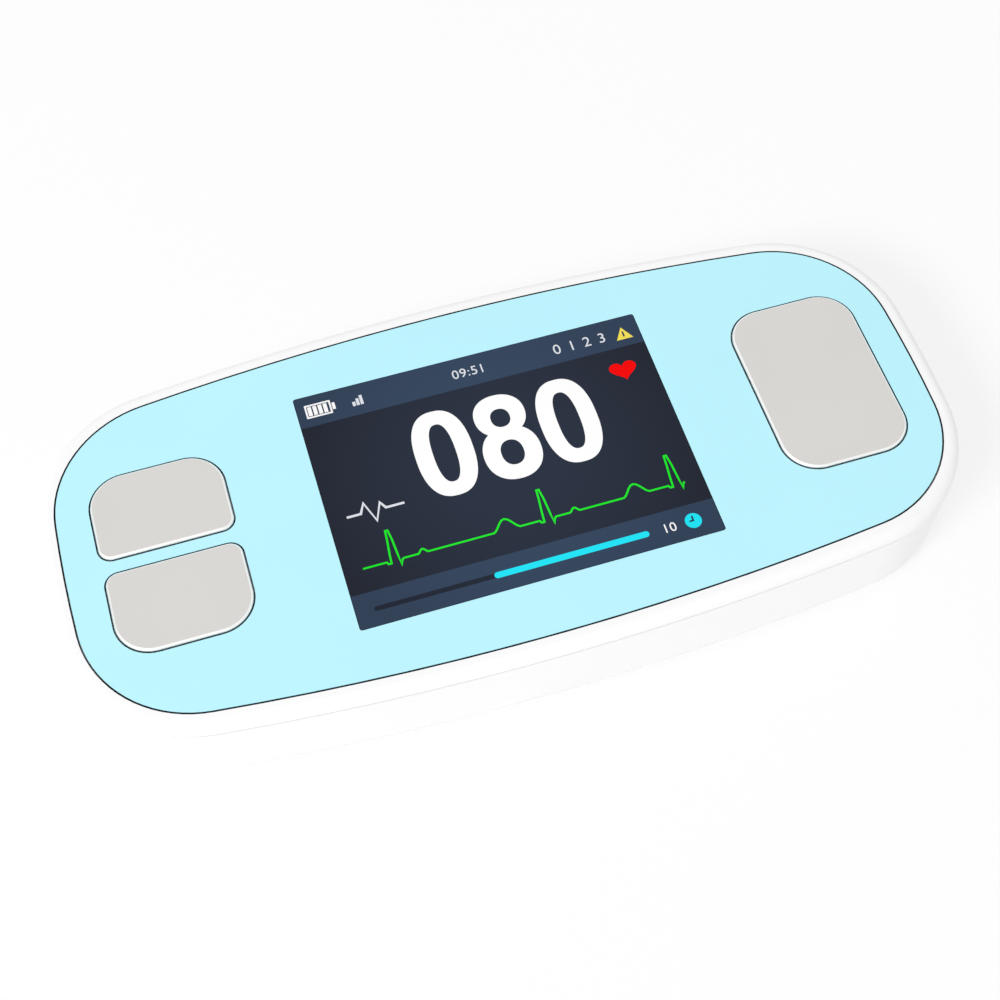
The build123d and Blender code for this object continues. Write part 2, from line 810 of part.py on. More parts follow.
def make_port_flap():
    """Soft flap, flush with the end of the housing, with a shallow plug for the socket."""
    width = port_recess_width - 2 * flap_clearance
    height = port_recess_height - 2 * flap_clearance
    radius = port_recess_radius - flap_clearance
    inner_x = port_floor_x - flap_clearance
    panel = extrude(port_plane(inner_x) * RectangleRounded(width, height, radius), amount=cut)
    panel = panel & drafted(rear_offset, 0, back_edge_radius)
    plug_width = socket_width - 2 * (socket_wall + flap_plug_clearance)
    plug_height = socket_height - 2 * (socket_wall + flap_plug_clearance)
    return panel + stadium(plug_width, plug_height, flap_plug_length, port_plane(inner_x + flap_plug_length))


def make_flap_anchor():
    """The end of the flap's strap that stays in the wall, held by a barb inside."""
    body = extrude(port_plane(port_face_x + strap_thickness) * strap_plan(0, 0), amount=cut)
    body = body & drafted(rear_offset, 0, back_edge_radius)
    inner_x = port_face_x + wall_thickness + port_pad_depth
    stem = Pos(strap_y(), 0) * Circle(strap_stem_diameter / 2)
    body += extrude(port_plane(inner_x) * stem, amount=inner_x - port_face_x - strap_thickness)
    barb = Pos(strap_y(), 0) * Circle(strap_barb_diameter / 2)
    return body + extrude(port_plane(inner_x + strap_barb_height) * barb, amount=strap_barb_height)


def make_power_button():
    """Power key with a flange behind the wall."""
    depth = key_wall_y + key_proud - key_flange_y
    cap = stadium(key_length, key_height, depth, key_plane(key_flange_y))
    cap = fillet(cap.faces().sort_by(Axis.Y)[-1].edges(), key_edge_radius)
    length = key_length + 2 * key_flange_margin
    height = key_height + 2 * key_flange_margin
    return cap + stadium(length, height, key_flange_thickness, key_plane(key_flange_y - key_flange_thickness))


def switch_front():
    """Where the switch's front face stands, just inside the board's edge."""
    return plate_half_width - board_inset - switch_inset


def make_switch_body():
    """Side switch under the board."""
    y = switch_front() - switch_depth / 2
    body = block(0, y, board_height - switch_height, switch_length, switch_depth, board_height)
    length = plunger_length + 2 * thread_gap
    height = plunger_height + 2 * thread_gap
    depth = key_travel + 2 * thread_gap
    return body - extrude(key_plane(switch_front() - depth) * Rectangle(length, height), amount=depth)


def make_switch_plunger():
    """Plunger of the switch, against the key's flange."""
    start = switch_front() - thread_gap
    depth = key_flange_y - key_flange_thickness - start
    return extrude(key_plane(start) * Rectangle(plunger_length, plunger_height), amount=depth)


def make_battery_cell():
    """Flat pouch cell with soft edges."""
    bottom = floor_thickness + battery_pad_thickness
    length = battery_length - battery_cap_length
    x = -battery_cap_length / 2
    pouch = block(x, 0, bottom, length, battery_width, bottom + battery_thickness)
    return fillet(pouch.edges().filter_by(Axis.Y), battery_edge_radius)


def make_battery_cap():
    """Taped protection board across the end of the cell."""
    bottom = floor_thickness + battery_pad_thickness + (battery_thickness - battery_cap_thickness) / 2
    x = battery_length / 2 - battery_cap_length / 2
    width = battery_width - 2 * battery_edge_radius
    return block(x, 0, bottom, battery_cap_length, width, bottom + battery_cap_thickness)


def make_battery_pad():
    """Foam adhesive pad under the cell."""
    length = battery_length - battery_cap_length - 2 * battery_pad_inset
    width = battery_width - 2 * battery_pad_inset
    return block(-battery_cap_length / 2, 0, floor_thickness, length, width, floor_thickness + battery_pad_thickness)


def make_battery_lead():
    """Two short wires from the cell to its plug."""
    start_z = floor_thickness + battery_pad_thickness + battery_thickness / 2
    end_z = board_height - battery_plug_height / 2
    start_x = battery_length / 2
    wires = []
    for side in (1, -1):
        y = lead_y + side * lead_pitch / 2
        points = [
            (start_x, y, start_z),
            (start_x + lead_run, y, start_z),
            (start_x + lead_run + lead_slope_run, y, end_z),
            (start_x + lead_reach, y, end_z),
        ]
        path = FilletPolyline(*points, radius=lead_bend_radius)
        section = Plane(origin=path @ 0, z_dir=path % 0) * Circle(lead_diameter / 2)
        wires.append(sweep(section, path=path))
    return wires


def make_battery_plug():
    """Plug and socket of the battery's lead, under the board."""
    x = battery_length / 2 + lead_reach + battery_plug_length / 2
    bottom = board_height - battery_plug_height
    return block(x, lead_y, bottom, battery_plug_length, battery_plug_width, board_height)


nodes["rear_shell"] = make_rear_shell()
nodes["front_shell"] = make_front_shell()
nodes["face_plate"] = make_face_plate()
nodes["plate_adhesive"] = make_plate_adhesive()
nodes["display_window"] = make_display_window()
nodes["optical_adhesive"] = make_optical_adhesive()
nodes["display_gasket"] = make_display_gasket()
nodes["lcd_panel"] = make_lcd_panel()
nodes["lcd_backlight"] = make_lcd_backlight()
nodes["lcd_flex"] = make_lcd_flex()
nodes["flex_connector"] = make_flex_connector()
nodes["display_carrier"] = make_display_carrier()
nodes["electrode_right"] = make_electrode(0)
nodes["electrode_upper_left"] = make_electrode(1)
nodes["electrode_lower_left"] = make_electrode(2)
nodes["electrode_nuts"] = make_electrode_nuts()
nodes["contact_springs"] = make_contact_springs()
nodes["main_board"] = make_main_board()
nodes["board_screws"] = make_board_screws()
nodes["housing_screws"] = make_housing_screws()
nodes["threaded_inserts"] = make_threaded_inserts()
nodes["processor_chip"] = make_chip(processor_place, processor_size)
nodes["amplifier_chip"] = make_chip(amplifier_place, amplifier_size)
nodes["memory_chip"] = make_chip(memory_place, memory_size)
nodes["wireless_module"] = make_wireless_module()
nodes["crystal"] = make_plain_chip(crystal_place, crystal_size)
nodes["charger_chip"] = make_plain_chip(charger_place, charger_size)
nodes["power_coil"] = make_plain_chip(coil_place, coil_size)
nodes["board_passives"] = make_board_passives()
nodes["buzzer"] = make_buzzer()
nodes["usb_receptacle"] = make_usb_receptacle()
nodes["usb_tongue"] = make_usb_tongue()
nodes["port_flap"] = make_port_flap()
nodes["flap_anchor"] = make_flap_anchor()
nodes["power_button"] = make_power_button()
nodes["switch_body"] = make_switch_body()
nodes["switch_plunger"] = make_switch_plunger()
nodes["battery_cell"] = make_battery_cell()
nodes["battery_cap"] = make_battery_cap()
nodes["battery_pad"] = make_battery_pad()
nodes["battery_lead"] = make_battery_lead()
nodes["battery_plug"] = make_battery_plug()

os.makedirs("parts", exist_ok=True)
for name, shape in nodes.items():
    solid = Compound(children=shape) if isinstance(shape, list) else shape
    export_step(solid, f"parts/{name}.step")
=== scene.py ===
import json
import math

import bmesh
import bpy
from mathutils import Matrix, Vector


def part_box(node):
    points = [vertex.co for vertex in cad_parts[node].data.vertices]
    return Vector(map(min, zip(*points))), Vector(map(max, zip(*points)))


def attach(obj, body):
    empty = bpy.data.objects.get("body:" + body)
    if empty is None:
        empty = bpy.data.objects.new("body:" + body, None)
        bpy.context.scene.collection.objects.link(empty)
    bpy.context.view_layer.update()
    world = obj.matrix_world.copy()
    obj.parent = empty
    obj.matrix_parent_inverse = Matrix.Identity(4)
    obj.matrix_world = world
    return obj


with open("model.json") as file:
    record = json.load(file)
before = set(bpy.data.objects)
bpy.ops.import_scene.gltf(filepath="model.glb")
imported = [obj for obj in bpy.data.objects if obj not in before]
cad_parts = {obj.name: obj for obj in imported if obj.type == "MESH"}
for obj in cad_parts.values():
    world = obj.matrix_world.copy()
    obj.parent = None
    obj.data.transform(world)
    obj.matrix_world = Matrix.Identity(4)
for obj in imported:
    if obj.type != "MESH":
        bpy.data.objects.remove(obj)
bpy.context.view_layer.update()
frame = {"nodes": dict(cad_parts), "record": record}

# Looks for a palm-size heart-rhythm monitor: moulded finishes, satin steel and a lit screen.
# Lengths are in metres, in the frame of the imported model; MM turns millimetres into metres.
MM = 0.001

# Places from the frame: the window lies flush with the plate, and the seam is the tub's upper edge
window_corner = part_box("display_window")[1]
PLATE_TOP = window_corner.z
SCREEN_HALF = (window_corner.x / MM, window_corner.y / MM)
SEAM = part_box("rear_shell")[1].z

# Camera at the photograph's place
CAMERA_PLACE = Vector((-33.0, -116.0, 204.8)) * MM
CAMERA_TURN = math.radians(17.165)
CAMERA_DOWN = math.radians(58.758)
CAMERA_ROLL = math.radians(-0.296)
CAMERA_LENS = 60.63
CAMERA_SENSOR = 36.0
CAMERA_SHIFT_X = -0.0247
CAMERA_CLIP = (0.01, 20.0)

# Light: the world's strength, and a lamp that points at the origin
WORLD_LIGHT = 0.745
KEY_PLACE = Vector((-900.0, -560.0, 900.0)) * MM
KEY_SIZE = 420.0 * MM
KEY_POWER = 8.0

# Floor: a hair under the object. For the camera, its share of plain white is FLOOR_OWN_WHITE near the
# object and grows to 1 between the two distances of FLOOR_FADE.
FLOOR_SIZE = 6.0
FLOOR_SQUARES = 8
FLOOR_DROP = 0.05 * MM
FLOOR_WHITE = (250, 250, 250)
FLOOR_ROUGHNESS = 0.9
FLOOR_OWN_WHITE = 0.65
FLOOR_FADE = (160.0 * MM, 420.0 * MM)

# Colours of the object, as seen on a screen, 0 to 255
WHITE_SHELL = (250, 250, 251)
PLATE_BLUE = (188, 244, 255)
KEY_BLUE = (178, 234, 245)
STEEL = (218, 216, 213)
# Painted highlight: lighter steel on the electrodes' rounded rims
PAINTED_RIM_HIGHLIGHT = (244, 244, 243)
SCREW_STEEL = (186, 188, 192)
SOCKET_STEEL = (188, 189, 192)
CAN_METAL = (196, 198, 200)
CELL_FOIL = (190, 192, 196)
INSERT_BRASS = (206, 166, 92)
SPRING_BRONZE = (214, 178, 104)
BOND_CLEAR = (225, 230, 232)
FOAM_BLACK = (34, 34, 36)
ADHESIVE_GREY = (150, 153, 156)
GLASS_DARK = (40, 42, 48)
TRAY_WHITE = (226, 227, 227)
CARRIER_GREY = (120, 122, 126)
FLEX_AMBER = (206, 128, 40)
CAP_AMBER = (204, 142, 40)
CONNECTOR_CREAM = (222, 212, 186)
BOARD_GREEN = (20, 104, 62)
CHIP_BLACK = (30, 30, 32)
COMPONENT_GREY = (150, 142, 132)
FLAP_WHITE = (240, 241, 242)
LEAD_RED = (180, 26, 24)

# Painted shade in the gaps: colours down the gaps round plate and electrodes, on the plate's cut edge,
# in the seam
PAINTED_GAP_SHADE = (16, 17, 20)
PAINTED_PLATE_EDGE_SHADE = (46, 78, 92)
PAINTED_GROOVE_SHADE = (84, 86, 90)

# Colours that the screen shows
SCREEN_NIGHT = (42, 50, 66)
SCREEN_NIGHT_EDGE = (34, 38, 50)
SCREEN_BAR = (55, 73, 97)
SCREEN_BAR_EDGE = (49, 64, 86)
TRACK_DARK = (38, 44, 58)
TRACE_GREEN = (34, 234, 44)
PROGRESS_CYAN = (36, 230, 248)
HEART_RED = (247, 0, 0)
SIGN_YELLOW = (246, 226, 92)
LIT_WHITE = (255, 255, 255)
SOFT_WHITE = (226, 229, 236)

# Gaps: the depth over which the painted shade makes a gap dark below the plate's top, the distance from
# the middle at which a wall that faces it counts fully as an inner wall, and the height of the painted
# shade in the seam's groove
GAP_SHADE = 0.06 * MM
INNER_WALL_REACH = 2.0 * MM
GROOVE_HEIGHT = 0.33 * MM

# Rims of the electrodes: the upward share of the surface direction where the painted highlight on the
# rim starts and ends
RIM_FLAT = 0.985
RIM_ROUND = 0.9

# Grain: features per metre and depth. Tint: shift of the colour and features per metre. Gloss: how far
# the roughness goes down and up with the grain. EVEN leaves the noise unstretched.
MOULD_GRAIN = (5200.0, 0.004 * MM)
PLATE_GRAIN = (7000.0, 0.002 * MM)
GLASS_GRAIN = (9000.0, 0.0004 * MM)
FOAM_GRAIN = (2600.0, 0.06 * MM)
PAPER_GRAIN = (2600.0, 0.02 * MM)
BOARD_GRAIN = (3000.0, 0.006 * MM)
RUBBER_GRAIN = (3800.0, 0.006 * MM)
BRUSH_GRAIN = (900.0, 0.0012 * MM)
GRAIN_DETAIL = 3.0
TINT_DETAIL = 1.0
MOULD_TINT = (-3, 60.0)
BRUSH_TINT = (-4, 90.0)
MOULD_GLOSS = (-0.05, 0.07)
BRUSH_GLOSS = (-0.07, 0.08)
EVEN = (1.0, 1.0, 1.0)

# Moulded and sheet finishes: colour, roughness and grain
MOULDED = {
    "housing_white": (WHITE_SHELL, 0.36, MOULD_GRAIN),
    "plate_blue": (PLATE_BLUE, 0.30, PLATE_GRAIN),
    "key_blue": (KEY_BLUE, 0.34, MOULD_GRAIN),
    "clear_bond": (BOND_CLEAR, 0.12, MOULD_GRAIN),
    "black_foam": (FOAM_BLACK, 0.9, FOAM_GRAIN),
    "grey_adhesive": (ADHESIVE_GREY, 0.8, PAPER_GRAIN),
    "panel_glass": (GLASS_DARK, 0.08, GLASS_GRAIN),
    "tray_white": (TRAY_WHITE, 0.5, MOULD_GRAIN),
    "carrier_grey": (CARRIER_GREY, 0.5, MOULD_GRAIN),
    "flex_amber": (FLEX_AMBER, 0.35, MOULD_GRAIN),
    "connector_cream": (CONNECTOR_CREAM, 0.45, MOULD_GRAIN),
    "board_green": (BOARD_GREEN, 0.32, BOARD_GRAIN),
    "chip_black": (CHIP_BLACK, 0.6, MOULD_GRAIN),
    "component_grey": (COMPONENT_GREY, 0.6, MOULD_GRAIN),
    "flap_rubber": (FLAP_WHITE, 0.62, RUBBER_GRAIN),
    "cap_amber": (CAP_AMBER, 0.38, MOULD_GRAIN),
    "lead_rubber": (LEAD_RED, 0.45, MOULD_GRAIN),
}

# Brushed metals: colour, roughness, and how much finer the brush lines are along x, y and z
BRUSHED = {
    "electrode_steel": (STEEL, 0.42, (1.0, 22.0, 1.0)),
    "screw_steel": (SCREW_STEEL, 0.33, (1.0, 1.0, 12.0)),
    "insert_brass": (INSERT_BRASS, 0.3, (1.0, 1.0, 12.0)),
    "spring_bronze": (SPRING_BRONZE, 0.28, (12.0, 1.0, 1.0)),
    "can_metal": (CAN_METAL, 0.35, (10.0, 1.0, 1.0)),
    "socket_steel": (SOCKET_STEEL, 0.3, (1.0, 14.0, 14.0)),
    "cell_foil": (CELL_FOIL, 0.4, (1.0, 3.0, 1.0)),
}

# Lit parts of the screen: gloss of the glass over them, and the distances from the middle between which
# they darken, by LIT_EDGE_SHIFT where no edge colour is given
SCREEN_GLOSS = 0.05
SCREEN_ROUGHNESS = 0.22
DIM_REACH = (16.12 * MM, 30.68 * MM)
LIT_EDGE_SHIFT = -6

# Screen picture: from here on, lengths are in millimetres and places go from the screen's middle.
# The picture is thin flat pieces in layers, PICTURE_LIFT apart, and a layer is a number of such steps.
PICTURE_LIFT = 0.012
PICTURE_THICKNESS = 0.02
BAR_LAYER = 0
SIGN_LAYER = 2
PROGRESS_LAYER = 3
HANDS_LAYER = 4
BAR_HEIGHT = 4.95

# Steps in a round outline, in the round end of a bar and in a wave
OVAL_STEPS = 64
EIGHT_STEPS = 96
HEART_STEPS = 48
BAR_END_STEPS = 10
WAVE_STEPS = 10

# Large figures: squarish ovals, where a power of 2 is a true oval and a higher one is squarer
DIGIT_PITCH = 8.75
DIGIT_MIDDLE_X = 1.62
DIGIT_MIDDLE_Y = 4.0
DIGIT_WIDTH = 7.9
DIGIT_HEIGHT = 13.8
ZERO_HOLE_WIDTH = 3.1
ZERO_HOLE_HEIGHT = 9.43
ZERO_POWER = 2.45
EIGHT_POWER = 2.2
EIGHT_TOP_Y = 7.55
EIGHT_TOP_WIDTH = 7.1
EIGHT_TOP_HEIGHT = 6.75
EIGHT_TOP_HOLE = (2.68, 3.0)
EIGHT_TOP_HOLE_Y = 7.12
EIGHT_LOW_Y = 1.35
EIGHT_LOW_HEIGHT = 8.5
EIGHT_LOW_HOLE = (3.1, 4.03)
EIGHT_LOW_HOLE_Y = 1.38

# Heart trace: one beat as steps from its middle, a small wave after it and a large one before the next.
# A wave is half its length and its height.
TRACE_WIDTH = 0.27
TRACE_BASE_Y = -9.93
TRACE_LEFT = -22.0
TRACE_RIGHT = 22.0
BEAT_PLACES = (-17.7, 2.93, 20.77)
BEAT_SHAPE = (
    (-1.13, 0.0),
    (-0.95, -0.33),
    (-0.58, -0.33),
    (-0.48, 1.1),
    (-0.27, 3.0),
    (-0.15, 4.6),
    (0.17, 4.6),
    (0.38, 3.1),
    (0.52, 0.8),
    (0.65, -0.95),
    (0.88, -0.22),
    (1.12, 0.0),
)
SMALL_WAVE_AFTER = 3.74
SMALL_WAVE = (0.68, 0.58)
LARGE_WAVE_BEFORE = 5.55
LARGE_WAVE = (1.78, 1.68)
WAVE_POWER = 0.8

# Corners of a drawn line: the longest mitre, as a share of half the line's width, and the least cosine
# of half the turn that a mitre is worked out with
MITRE_LONGEST = 1.7
MITRE_LEAST_COSINE = 0.2

# Heart: HEART_CURVE holds the shares that the cosines of one to four times the angle have in the
# height of its curve. The next two are roughly that curve's middle and whole height.
HEART_PLACE = (20.17, 9.45)
HEART_SIZE = (3.87, 3.1)
HEART_CURVE = (13 / 16, -5 / 16, -2 / 16, -1 / 16)
HEART_CURVE_MIDDLE = -0.14
HEART_CURVE_HEIGHT = 1.82

# Alert triangle with a plain bar
SIGN_PLACE = (22.13, 15.62)
SIGN_SIZE = (2.4, 2.05)
SIGN_BAR_WIDTH = 0.26
SIGN_BAR_SPAN = (-0.62, 0.3)

# Battery outline: the tip is length and height
BATTERY_PLACE = (-21.55, 15.86)
BATTERY_SIZE = (3.6, 2.2)
BATTERY_TIP = (0.42, 1.1)
BATTERY_LINE = 0.24
BATTERY_INSET = 1.5 * BATTERY_LINE
BATTERY_GAP = 0.8 * BATTERY_LINE
BATTERY_BARS = 4

# Signal bars
SIGNAL_PLACE = (-16.9, 14.95)
SIGNAL_WIDTH = 0.42
SIGNAL_FIRST = 0.7
SIGNAL_RISE = 0.42
SIGNAL_STEP = 0.55
SIGNAL_BARS = 3

# Small figures: where their base line starts, their type size, and their spacing, 1 being normal
TEXT_SPACING = 1.06
CLOCK_TEXT = "09:51"
CLOCK_PLACE = (-2.7, 15.12)
CLOCK_TEXT_SIZE = 2.05
COUNT_TEXT = "0123"
COUNT_PLACE = (11.9, 14.95)
COUNT_TEXT_SIZE = 2.3
COUNT_SPACING = 1.9
SECONDS_TEXT = "10"
SECONDS_PLACE = (16.6, -16.62)
SECONDS_TEXT_SIZE = 1.9

# Pulse sign: a zigzag as steps from its middle
PULSE_PLACE = (-18.2, -1.9)
PULSE_SHAPE = ((-3.9, 0.0), (-2.0, 0.0), (-1.3, 1.5), (-0.2, -1.6), (0.8, 1.0), (1.4, 0.0), (3.9, 0.0))
PULSE_STROKE = 0.34

# Progress bar and its timer
PROGRESS_Y = -16.0
TRACK_SPAN = (-22.1, -5.9)
TRACK_THICKNESS = 0.68
PROGRESS_SPAN = (-6.2, 14.8)
PROGRESS_THICKNESS = 0.88
TIMER_PLACE = (20.93, -15.9)
TIMER_DIAMETER = 2.24
TIMER_HANDS = ((0.0, 0.72), (0.0, 0.0), (-0.55, 0.0))
TIMER_STROKE = 0.22


# Materials

def linear(colour):
    """A screen colour as linear light, by the sRGB curve, with full alpha."""
    out = []
    for level in colour:
        share = level / 255
        out.append(share / 12.92 if share <= 0.04045 else ((share + 0.055) / 1.055) ** 2.4)
    return (*out, 1.0)


def shifted(colour, amount):
    """The colour made lighter or darker by amount."""
    return tuple(max(0, min(255, level + amount)) for level in colour)


def new_material(name, colour, roughness, metallic=0.0):
    """A material with one Principled shader. Returns it with its node tree and shader."""
    material = bpy.data.materials.new(name)
    material.use_nodes = True
    tree = material.node_tree
    shader = tree.nodes["Principled BSDF"]
    shader.inputs["Base Color"].default_value = linear(colour)
    shader.inputs["Roughness"].default_value = roughness
    shader.inputs["Metallic"].default_value = metallic
    return material, tree, shader


def feed(tree, value, place):
    """Gives a node's input a link from a socket, or else a fixed value."""
    if isinstance(value, bpy.types.NodeSocket):
        tree.links.new(value, place)
    else:
        place.default_value = value


def combine(tree, operation, *values):
    """A Math node over sockets and numbers."""
    node = tree.nodes.new("ShaderNodeMath")
    node.operation = operation
    for value, place in zip(values, node.inputs):
        feed(tree, value, place)
    return node.outputs["Value"]


def ramp(tree, source, start, end, low=0.0, high=1.0):
    """Low where source is start and high where it is end, and clamped outside them."""
    node = tree.nodes.new("ShaderNodeMapRange")
    node.inputs["From Min"].default_value = start
    node.inputs["From Max"].default_value = end
    node.inputs["To Min"].default_value = low
    node.inputs["To Max"].default_value = high
    tree.links.new(source, node.inputs["Value"])
    return node.outputs["Result"]


def mixed(tree, share, first, second):
    """The first colour where share is 0 and the second where it is 1."""
    mix = tree.nodes.new("ShaderNodeMix")
    mix.data_type = "RGBA"
    feed(tree, share, mix.inputs["Factor"])
    feed(tree, first, mix.inputs["A"])
    feed(tree, second, mix.inputs["B"])
    return mix.outputs["Result"]


def coordinates(tree, kind):
    """Place in the object's own coordinates (Object) or surface direction in them (Normal)."""
    return tree.nodes.new("ShaderNodeTexCoord").outputs[kind]


def upright_part(tree, vector):
    """The z of a vector."""
    split = tree.nodes.new("ShaderNodeSeparateXYZ")
    tree.links.new(vector, split.inputs["Vector"])
    return split.outputs["Z"]


def distance(tree):
    """Distance from the object's origin."""
    length = tree.nodes.new("ShaderNodeVectorMath")
    length.operation = "LENGTH"
    tree.links.new(coordinates(tree, "Object"), length.inputs[0])
    return length.outputs["Value"]


def noise(tree, scale, detail, stretch=EVEN):
    """Noise over the object's own coordinates, in features per metre."""
    mapping = tree.nodes.new("ShaderNodeMapping")
    mapping.inputs["Scale"].default_value = stretch
    texture = tree.nodes.new("ShaderNodeTexNoise")
    texture.inputs["Scale"].default_value = scale
    texture.inputs["Detail"].default_value = detail
    tree.links.new(coordinates(tree, "Object"), mapping.inputs["Vector"])
    tree.links.new(mapping.outputs["Vector"], texture.inputs["Vector"])
    return texture.outputs["Fac"]


def add_grain(tree, shader, roughness, grain, gloss, stretch=EVEN):
    """Fine relief, and a roughness that varies with it."""
    scale, depth = grain
    relief = noise(tree, scale, GRAIN_DETAIL, stretch)
    bump = tree.nodes.new("ShaderNodeBump")
    bump.inputs["Strength"].default_value = 1.0
    bump.inputs["Distance"].default_value = depth
    tree.links.new(relief, bump.inputs["Height"])
    tree.links.new(bump.outputs["Normal"], shader.inputs["Normal"])
    uneven = ramp(tree, relief, 0.0, 1.0, roughness + gloss[0], roughness + gloss[1])
    tree.links.new(uneven, shader.inputs["Roughness"])


def add_tint(tree, shader, colour, shift, scale):
    """Slow, slight drift between the colour and one shifted from it."""
    drift = noise(tree, scale, TINT_DETAIL)
    tint = mixed(tree, drift, linear(colour), linear(shifted(colour, shift)))
    tree.links.new(tint, shader.inputs["Base Color"])


def moulded(name, colour, roughness, grain):
    """Moulded plastic, film or glass with a fine texture."""
    material, tree, shader = new_material(name, colour, roughness)
    add_tint(tree, shader, colour, *MOULD_TINT)
    add_grain(tree, shader, roughness, grain, MOULD_GLOSS)
    return material


def brushed(name, colour, roughness, stretch):
    """Satin metal with fine brush lines."""
    material, tree, shader = new_material(name, colour, roughness, 1.0)
    add_tint(tree, shader, colour, *BRUSH_TINT)
    add_grain(tree, shader, roughness, BRUSH_GRAIN, BRUSH_GLOSS, stretch)
    return material


def lit(name, colour, edge_colour=None):
    """A lit part of the screen behind glass, a little darker towards the screen's rim."""
    material, tree, shader = new_material(name, (0, 0, 0), SCREEN_ROUGHNESS)
    shader.inputs["Specular IOR Level"].default_value = SCREEN_GLOSS
    shader.inputs["Emission Strength"].default_value = 1.0
    dim = ramp(tree, distance(tree), *DIM_REACH)
    glow = mixed(tree, dim, linear(colour), linear(edge_colour or shifted(colour, LIT_EDGE_SHIFT)))
    tree.links.new(glow, shader.inputs["Emission Color"])
    return material


def recolour(material, colour, make_share):
    """Turns the base colour into another one where the share that make_share works out is 1."""
    tree = material.node_tree
    shader = tree.nodes["Principled BSDF"]
    base = shader.inputs["Base Color"].links[0].from_socket
    tree.links.new(mixed(tree, make_share(tree), base, linear(colour)), shader.inputs["Base Color"])


def below_plate_top_for_painted_shade(tree):
    """1 below the plate's top, for painted shade on the cut edges that are seen down a narrow gap."""
    height = upright_part(tree, coordinates(tree, "Object"))
    return ramp(tree, height, PLATE_TOP, PLATE_TOP - GAP_SHADE)


def inner_walls_for_painted_shade(tree):
    """1 on walls of the ring that face the middle and lie below the plate's top, for painted shade
    there.
    """
    facing = tree.nodes.new("ShaderNodeVectorMath")
    facing.operation = "DOT_PRODUCT"
    tree.links.new(coordinates(tree, "Normal"), facing.inputs[0])
    tree.links.new(coordinates(tree, "Object"), facing.inputs[1])
    inward = ramp(tree, facing.outputs["Value"], 0.0, -INNER_WALL_REACH)
    return combine(tree, "MULTIPLY", inward, below_plate_top_for_painted_shade(tree))


def seam_groove_for_painted_shade(tree):
    """1 in the groove under the front ring, for painted shade there."""
    height = upright_part(tree, coordinates(tree, "Object"))
    return combine(tree, "COMPARE", height, SEAM - GROOVE_HEIGHT / 2, GROOVE_HEIGHT / 2)


def round_rims_for_painted_highlight(tree):
    """1 where the surface turns over at a rounded rim, for a painted highlight there."""
    return ramp(tree, upright_part(tree, coordinates(tree, "Normal")), RIM_FLAT, RIM_ROUND)


def make_materials():
    """One material for each slot of the record."""
    made = {}
    for name, finish in MOULDED.items():
        made[name] = moulded(name, *finish)
    for name, finish in BRUSHED.items():
        made[name] = brushed(name, *finish)
    made["window_dark"] = lit("window_dark", SCREEN_NIGHT, SCREEN_NIGHT_EDGE)
    # Painted shade on the plate's cut edge down the gap
    recolour(made["plate_blue"], PAINTED_PLATE_EDGE_SHADE, below_plate_top_for_painted_shade)
    # Painted shade on the electrodes' sides down the gap
    recolour(made["electrode_steel"], PAINTED_GAP_SHADE, below_plate_top_for_painted_shade)
    # Painted highlight on the electrodes' rounded rims
    recolour(made["electrode_steel"], PAINTED_RIM_HIGHLIGHT, round_rims_for_painted_highlight)
    # Painted shade on the ring's walls that face the middle, below the plate's top
    recolour(made["housing_white"], PAINTED_GAP_SHADE, inner_walls_for_painted_shade)
    # Painted shade in the seam's groove under the front ring
    recolour(made["housing_white"], PAINTED_GROOVE_SHADE, seam_groove_for_painted_shade)
    return made


def dress_nodes(materials):
    """Each carried node takes the material of its slot."""
    for entry in frame["record"]["subparts"]:
        node = frame["nodes"][entry["node"]]
        node.data.materials.clear()
        node.data.materials.append(materials[entry["material_slot"]])


# Outlines of the screen picture: a loop is a closed list of points

def rectangle(left, right, bottom, top):
    """Loop of an upright rectangle."""
    return [(left, bottom), (right, bottom), (right, top), (left, top)]


def oval(x, y, width, height, power=2.0, count=OVAL_STEPS):
    """Loop of a squarish oval."""
    loop = []
    for step in range(count):
        angle = 2 * math.pi * step / count
        cosine = math.cos(angle)
        sine = math.sin(angle)
        across = math.copysign(abs(cosine) ** (2 / power), cosine) * width / 2
        up = math.copysign(abs(sine) ** (2 / power), sine) * height / 2
        loop.append((x + across, y + up))
    return loop


def bar_loop(left, right, y, thickness):
    """Loop of a bar with round ends."""
    radius = thickness / 2
    loop = []
    for middle, start in ((right - radius, -90), (left + radius, 90)):
        for step in range(BAR_END_STEPS + 1):
            angle = math.radians(start + 180 * step / BAR_END_STEPS)
            loop.append((middle + radius * math.cos(angle), y + radius * math.sin(angle)))
    return loop


def stroke(points, width):
    """Loop round a line of points, with mitred corners."""
    half = width / 2
    left = []
    right = []
    for index, (x, y) in enumerate(points):
        before = points[max(index - 1, 0)]
        after = points[min(index + 1, len(points) - 1)]
        way_in = Vector((x - before[0], y - before[1]))
        way_out = Vector((after[0] - x, after[1] - y))
        way_in = way_in.normalized() if way_in.length else way_out.normalized()
        way_out = way_out.normalized() if way_out.length else way_in
        middle = (way_in + way_out).normalized()
        reach = min(half / max(middle.dot(way_in), MITRE_LEAST_COSINE), half * MITRE_LONGEST)
        left.append((x - middle.y * reach, y + middle.x * reach))
        right.append((x + middle.y * reach, y - middle.x * reach))
    return left + right[::-1]


def waist_height(top, low, x):
    """Height at which the two ovals of the 8 cross, to the right of x."""
    nearest = math.inf
    waist = EIGHT_TOP_Y
    for upper in top:
        if upper[0] <= x or not EIGHT_LOW_Y < upper[1] < EIGHT_TOP_Y:
            continue
        for lower in low:
            apart = abs(upper[0] - lower[0]) + abs(upper[1] - lower[1])
            if lower[0] > x and apart < nearest:
                nearest = apart
                waist = upper[1]
    return waist


